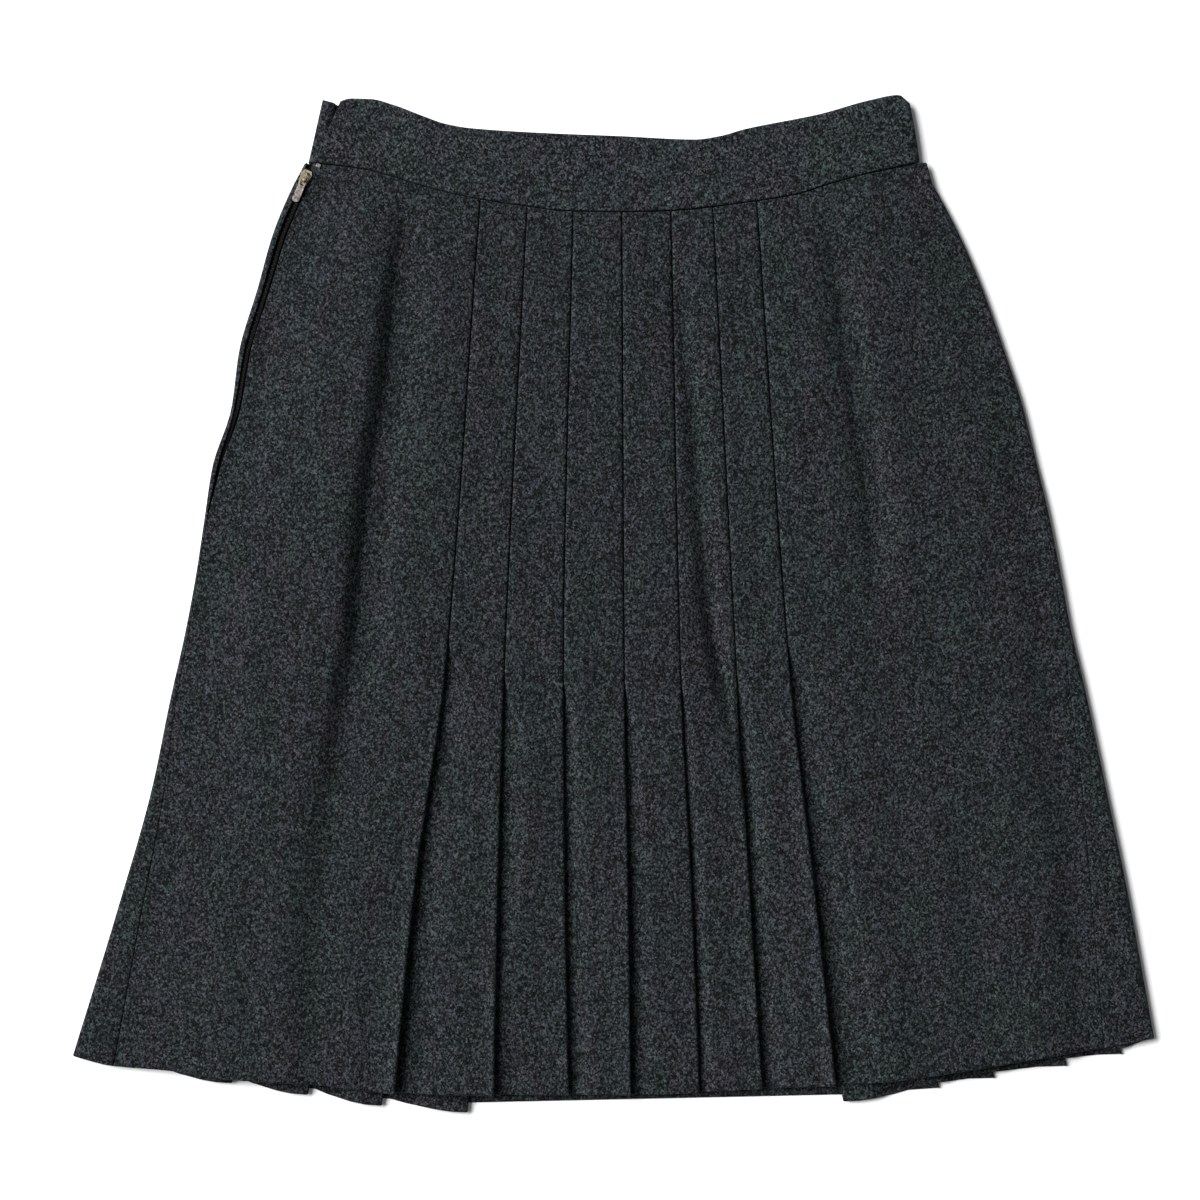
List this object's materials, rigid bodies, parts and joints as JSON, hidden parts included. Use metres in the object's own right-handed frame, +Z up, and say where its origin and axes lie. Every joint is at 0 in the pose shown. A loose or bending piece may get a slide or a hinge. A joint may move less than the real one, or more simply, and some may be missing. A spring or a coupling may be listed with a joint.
{
  "type": "pleated skirt",
  "caption": "Wool flannel skirt laid flat: stitched-down front pleats released below, waistband, back panel, and a side zip with a hinged pull tab.",
  "frame": {"origin": "under the middle of the skirt, on the surface it lies on", "axes": "+X to the viewer's right across the skirt, +Y towards the waist, +Z up from the surface"},
  "size_m": [0.61, 0.5725, 0.0108],
  "materials": {
    "flannel": "matt heathered wool",
    "zip_tape": "matt woven",
    "zip_metal": "polished",
    "zip_pull": "satin"
  },
  "bodies": {
    "skirt": {"front_panel": "flannel", "back_panel": "flannel", "waistband": "flannel", "zip_tape": "zip_tape", "zip_slider": "zip_metal"},
    "pull_tab": {"zip_pull": "zip_pull"}
  },
  "joints": [
    {"name": "pull_tab_swing", "type": "hinge", "parent": "skirt", "child": "pull_tab", "pos_m": [-0.17389, 0.24087, 0.00745], "axis": [-0.9166, 0.3998, 0], "range_deg": [0, 170]}
  ]
}
